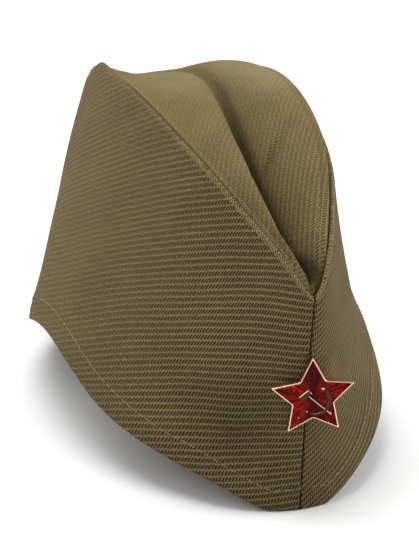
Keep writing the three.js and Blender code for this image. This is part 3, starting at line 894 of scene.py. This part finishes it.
# The relief's bars: the level they stand on, their heights, and the share of a height that is a wall
relief_base = 1.6
blade_height = 1.0
bar_height = 0.8
bar_wall = 0.35
blade_points = 60
bar_points = 40


def star_placed(points):
    """Points of the star's plane in the cap: turned by its yaw, leaned with the seam and rolled a little."""
    facing = np.array([math.sin(star_yaw) * math.cos(star_lean), -math.cos(star_yaw) * math.cos(star_lean),
                       -math.sin(star_lean)])
    across = np.array([math.cos(star_yaw), math.sin(star_yaw), 0])
    up = np.cross(facing, across)
    right = across * math.cos(star_roll) + up * math.sin(star_roll)
    top = up * math.cos(star_roll) - across * math.sin(star_roll)
    origin = np.array([star_side, star_foot, star_height])
    return origin + points[..., :1] * right + points[..., 1:2] * top + points[..., 2:3] * facing


def star_ring(inset, level):
    """The star's outline moved inwards and set at a level: ten straight edges between points and notches,
    their corners softened by a short running mean."""
    notch = star_radius * notch_share
    angles = np.pi / 2 - np.arange(11) * np.pi / 5
    radii = np.where(np.arange(11) % 2, notch, star_radius)
    corners = np.stack((radii * np.cos(angles), radii * np.sin(angles)), -1)
    edge = corners[1] - corners[0]
    apothem = abs(corners[0, 1] * edge[0]) / np.hypot(*edge)
    share = np.linspace(0, 1, edge_points, endpoint=False)[None, :, None]
    ring = mix(corners[:-1, None], corners[1:, None], share).reshape(-1, 2)
    ring = 0.25 * np.roll(ring, 1, 0) + 0.5 * ring + 0.25 * np.roll(ring, -1, 0)
    ring = ring * max(apothem - inset, 1e-3) / apothem
    ring = np.concatenate((ring, ring[:1]))
    return np.concatenate((ring, np.full((len(ring), 1), level)), -1)


def star_solid(name, profile, material):
    """Star outlines stacked along a profile of insets and levels, from the middle of the back to the middle
    of the front. The star map's numbers are the place in the star's plane in centimetres."""
    rings = np.stack([star_ring(inset, level) for inset, level in profile])
    plane = rings[..., :2] / 10
    wall = np.broadcast_to(np.linspace(0, 1, len(profile))[:, None], rings.shape[:2])
    maps = {"star": plane.reshape(-1, 2), "profile": np.stack((wall, wall), -1).reshape(-1, 2)}
    faces = grid_faces(*rings.shape[:2])
    return make_piece(name, star_placed(rings).reshape(-1, 3), faces, material, maps, sharp=50)


def raised_bar(name, path, half_width, height, shine, material):
    """A bar of the relief along a path: across it the height follows a half ellipse over a low wall, and
    both ends are closed by drawing the width in. The relief map's first number says how bright a place is
    painted, as a painted highlight."""
    ahead = unit(np.gradient(path, axis=0))
    aside = np.stack((-ahead[:, 1], ahead[:, 0]), -1)
    span = np.sin(np.linspace(-1, 1, 19) * np.pi / 2)
    arch = mix(np.sqrt(1 - span**2), 1, bar_wall)
    flat = path[:, None] + aside[:, None] * (half_width[:, None] * span)[..., None]
    top = relief_base + height[:, None] * arch
    upper = np.concatenate((flat, top[..., None]), -1)
    lower = np.concatenate((flat, np.full_like(top, relief_base)[..., None]), -1)
    share = np.linspace(0, 1, len(path))[:, None]
    # Painted highlights, placed by the shine function
    brightened = np.broadcast_to(shine(share, span[None, :]), top.shape)
    maps = {"relief": np.stack((brightened, brightened), -1)}
    piece = make_shell(name, star_placed(upper), star_placed(lower), maps, material, sharp=60)


# Colours of the badge
rim_face = (0.85, 0.58, 0.42)
rim_deep = (0.33, 0.17, 0.07)
# The relief's painted highlight colour
relief_highlight = (0.92, 0.68, 0.53)
relief_deep = (0.065, 0.033, 0.022)
enamel_ground = (0.04, 0.0015, 0.0015)
# Painted reflections: the lighter red of the side arms and the bright red of the streaks
enamel_arm_reflection = (0.09, 0.002, 0.002)
enamel_painted_glint = (0.62, 0.012, 0.005)
enamel_values = {
    "Roughness": 0.35,
    "Specular IOR Level": 0.02,
    "Coat Weight": 0.06,
    "Coat Roughness": 0.05,
    "Coat IOR": 1.45,
}


def brass_wear_and_highlight(name, face, deep, map_name, low, high, roughness):
    """Old brass: dark, and paler where a map's first number is high, between low and high: worn paler on the
    rim's face, and painted highlights on the relief.
    """
    finish = Finish(name, {"Metallic": 1.0, "Roughness": roughness})
    place = finish.node("ShaderNodeTexCoord").outputs["Object"]
    bright = finish.uv(map_name)[1]
    # Paler on the rim's worn face, and painted highlights on the relief
    brightened = finish.ramp(finish.add(bright, finish.times(finish.noise(place, 900.0, 3.0), 0.12)), low, high)
    colour = finish.colours(brightened, deep, face)
    spots = finish.ramp(finish.noise(place, 2400.0, 2.0), 0.3, 0.75, 0.0, 0.45)
    finish.paint(finish.colours(spots, colour, deep))
    finish.put(finish.shader.inputs["Roughness"], finish.ramp(brightened, 0.0, 1.0, roughness + 0.2, roughness))
    finish.bump(finish.noise(place, 1500.0, 3.0), 0.00003, 0.4)
    return finish.material


def ray_enamel():
    """Clear red enamel over a stamped ground: streaks that run out from the star's middle, cut into the
    ground under a smooth glassy coat. Their bright red, and the lighter red of the arms to both sides, are
    painted reflections, strongest in those arms."""
    finish = Finish("ray_enamel", enamel_values)
    place, x, y = finish.uv("star")
    distance = finish.math("SQRT", finish.add(finish.times(x, x), finish.times(y, y)))
    direction = finish.node("ShaderNodeVectorMath", operation="NORMALIZE")
    finish.put(direction.inputs[0], place)
    heading = direction.outputs[0]
    coarse = finish.noise(heading, 8.0, 1.0)
    fine = finish.noise(heading, 44.0, 1.0)
    broken = finish.noise(place, 7.0, 2.0)
    streaks = finish.add(finish.times(coarse, 0.35), finish.times(fine, 0.7))
    rays = finish.ramp(finish.add(streaks, finish.times(broken, 0.35)), 0.7, 0.82)
    outward = finish.ramp(distance, 0.02, 0.4)
    to_side = finish.math("ABSOLUTE", finish.part(heading, "X"))
    sideways = finish.ramp(to_side, 0.2, 0.8, 0.2, 1.0)
    # Painted reflections: bright red streaks, strongest in the arms to both sides
    painted_glint = finish.times(finish.times(rays, outward), sideways)
    deep = finish.colours(finish.times(outward, sideways), enamel_ground, enamel_arm_reflection)
    finish.paint(finish.colours(painted_glint, deep, enamel_painted_glint))
    finish.bump(finish.times(rays, outward), 0.0001, 0.6)
    return finish.material


# Profiles of the star's rim and of its enamel: insets from the outline and levels, from the middle of the
# back to the middle of the front. The middle's inset leaves a tiny star there.
middle = 6.36
rim_profile = [
    (middle, 0.0), (3.0, 0.0), (0.4, 0.0), (0.1, 0.05), (0.0, 0.2), (0.0, 0.8), (0.0, 1.4), (0.0, 1.9),
    (0.04, 2.06), (0.12, 2.15), (0.22, 2.19), (0.3, 2.19), (0.38, 2.15), (0.44, 2.05), (0.47, 1.9),
    (0.48, 1.5), (0.5, 1.05), (3.0, 1.0), (middle, 1.0),
]
enamel_profile = [
    (middle, 1.15), (3.0, 1.15), (0.5, 1.15), (0.48, 1.5), (0.48, 1.84), (0.65, 1.82), (0.95, 1.84),
    (1.6, 1.88), (2.4, 1.92), (3.6, 1.94), (5.0, 1.95), (middle, 1.95),
]
rim_brass = brass_wear_and_highlight("rim_brass", rim_face, rim_deep, "profile", 0.44, 0.5, 0.2)
relief_bronze = brass_wear_and_highlight("relief_bronze", relief_highlight, relief_deep, "relief", 0.4, 0.9, 0.24)
star_body = star_solid("star_body", rim_profile, rim_brass)
star_enamel = star_solid("star_enamel", enamel_profile, ray_enamel())
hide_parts("badge_star")
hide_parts("badge_enamel")


def blade_shine(share, span):
    """Painted highlights at the blade's tip, along its inner edge and most of all where it turns below."""
    inner = bell(span, -0.75, 0.3) * (0.45 + 0.6 * bell(share, 0.85, 0.12))
    return np.maximum(inner, 1.1 * bell(share, 0.03, 0.05))


def knob_shine(share, span):
    """Painted highlights along both edges and at both ends."""
    return np.maximum(np.abs(span) ** 3 * 0.8, bell(share, 0.97, 0.06) + bell(share, 0.05, 0.05))


def handle_shine(share, span):
    """Painted highlights along the middle, and round the knob at the far end."""
    return np.maximum(bell(span, 0.1, 0.4), bell(share, 0.95, 0.03) * np.abs(span))


def head_shine(share, span):
    """Painted highlights along its upper edge and at its face."""
    return np.maximum(bell(span, 0.95, 0.2), 0.8 * bell(share, 0.97, 0.05))


def closed_ends(share, power):
    """Draws a bar's width in at both ends: the root of 1 less a high power."""
    return np.sqrt(np.clip(1 - (2 * share - 1) ** power, 0, 1))


path_share = np.linspace(0, 1, blade_points)
blade_angle = mix(blade_ends[0], blade_ends[1], path_share)
blade_path = blade_centre + blade_radii * np.stack((np.cos(blade_angle), np.sin(blade_angle)), -1)
blade_half = 0.72 * np.sin(np.pi * (0.16 + 0.78 * path_share)) ** 0.7 * (1 - 0.5 * path_share**6)
blade_half = blade_half * np.sqrt(np.clip(1 - (1 - path_share) ** 30, 0, 1))
raised_bar("sickle_blade", blade_path, blade_half, blade_height * (0.7 + 0.35 * blade_half), blade_shine,
           relief_bronze)
# Knobs of the sickle's grip: how far each stands out, its place along the grip and its reach
knobs = ((0.3, 0.08, 0.08), (0.22, 0.55, 0.2), (0.2, 0.95, 0.06))
bar_share = np.linspace(0, 1, bar_points)
grip_path = mix(blade_path[-1:], grip_end[None], bar_share[:, None])
grip_knobs = sum(width * bell(bar_share, place, reach) for width, place, reach in knobs)
grip_half = (0.3 + grip_knobs) * closed_ends(bar_share, 12)
raised_bar("sickle_grip", grip_path, grip_half, 0.55 + 0.5 * grip_half, knob_shine, relief_bronze)
handle_path = mix(handle_start[None], handle_end[None], bar_share[:, None])
handle_half = (0.36 + 0.22 * bell(bar_share, 0.95, 0.035)) * closed_ends(bar_share, 20)
handle_height = np.full(bar_points, bar_height)
raised_bar("hammer_handle", handle_path, handle_half, handle_height, handle_shine, relief_bronze)
head_path = mix(head_ends[:1], head_ends[1:], bar_share[:, None])
head_half = head_half_width * closed_ends(bar_share, 30)
head_height = np.full(bar_points, blade_height)
raised_bar("hammer_head", head_path, head_half, head_height, head_shine, relief_bronze)

post_metal = Finish("post_metal", {"Metallic": 1.0, "Roughness": 0.45})
post_place = post_metal.node("ShaderNodeTexCoord").outputs["Object"]
post_tarnish = post_metal.ramp(post_metal.noise(post_place, 700.0, 3.0), 0.35, 0.65)
post_metal.paint(post_metal.colours(post_tarnish, (0.3, 0.19, 0.1), (0.6, 0.43, 0.26)))
post_metal.bump(post_metal.noise(post_place, 1200.0, 2.0), 0.00004, 0.4)
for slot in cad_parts["badge_post"].material_slots:
    slot.material = post_metal.material

# Camera: at the photograph's angle
camera_turn = math.radians(-18.836)
camera_rise = math.radians(18.343)
camera_roll = math.radians(0.178)
camera_distance = 776.08
camera_aside = np.array([-3.465, 3.491])
camera_target = np.array([0.0, 0.0, 51.5])
photo_height = 558
focal_pixels = 2109.267
sensor_height = 36


def make_camera():
    """Stands back from the target by a turn and a rise, rolled a little and moved aside in its plane."""
    cos_rise = math.cos(camera_rise)
    level = np.array([math.cos(camera_turn), math.sin(camera_turn), 0])
    back = np.array([level[1] * cos_rise, -level[0] * cos_rise, math.sin(camera_rise)])
    above = np.cross(back, level)
    right = level * math.cos(camera_roll) + above * math.sin(camera_roll)
    up = above * math.cos(camera_roll) - level * math.sin(camera_roll)
    place = camera_target + back * camera_distance - right * camera_aside[0] - up * camera_aside[1]
    data = bpy.data.cameras.new("camera")
    data.sensor_fit = "VERTICAL"
    data.sensor_height = sensor_height
    data.lens = focal_pixels / photo_height * sensor_height
    data.clip_start = 0.05
    data.clip_end = 50
    camera = bpy.data.objects.new("camera", data)
    turned = np.eye(4)
    turned[:3] = np.stack((right, up, back, (place + cap_shift) * 0.001), -1)
    camera.matrix_world = Matrix(turned.tolist())
    bpy.context.collection.objects.link(camera)
    bpy.context.scene.camera = camera


make_camera()


# Soft boxes: name, place and size in metres, and power in watts
soft_boxes = (
    ("top_box", (-0.25, 0.3, 1.5), 1.1, 20),
    ("left_box", (-1.1, -0.4, 0.9), 0.9, 4.5),
    ("right_box", (1.25, -0.3, 0.7), 0.9, 14),
)
lit_place = np.array([0, 0, 0.06])


def soft_light(name, place, size, power):
    """A square soft box that faces the cap."""
    data = bpy.data.lights.new(name, "AREA")
    data.shape = "SQUARE"
    data.size = size
    data.energy = power
    light = bpy.data.objects.new(name, data)
    to_cap = lit_place - np.array(place)
    light.location = place
    light.rotation_mode = "QUATERNION"
    light.rotation_quaternion = Vector(to_cap).to_track_quat("-Z", "Y")
    bpy.context.collection.objects.link(light)


for box in soft_boxes:
    soft_light(*box)

world = bpy.data.worlds.new("pale_room")
world.use_nodes = True
world.node_tree.nodes["Background"].inputs["Color"].default_value = (1, 1, 1, 1)
world.node_tree.nodes["Background"].inputs["Strength"].default_value = 0.42
bpy.context.scene.world = world
bpy.context.scene.view_settings.view_transform = "Standard"

floor_reach = 20
floor_mesh = bpy.data.meshes.new("floor")
floor_corners = [(x * floor_reach, y * floor_reach, 0) for x, y in ((-1, -1), (1, -1), (1, 1), (-1, 1))]
floor_mesh.from_pydata(floor_corners, [], [(0, 1, 2, 3)])
floor = bpy.data.objects.new("floor", floor_mesh)
bpy.context.collection.objects.link(floor)
pale = Finish("pale_floor", {"Roughness": 0.9, "Base Color": (0.92, 0.92, 0.92, 1)})
floor_mesh.materials.append(pale.material)
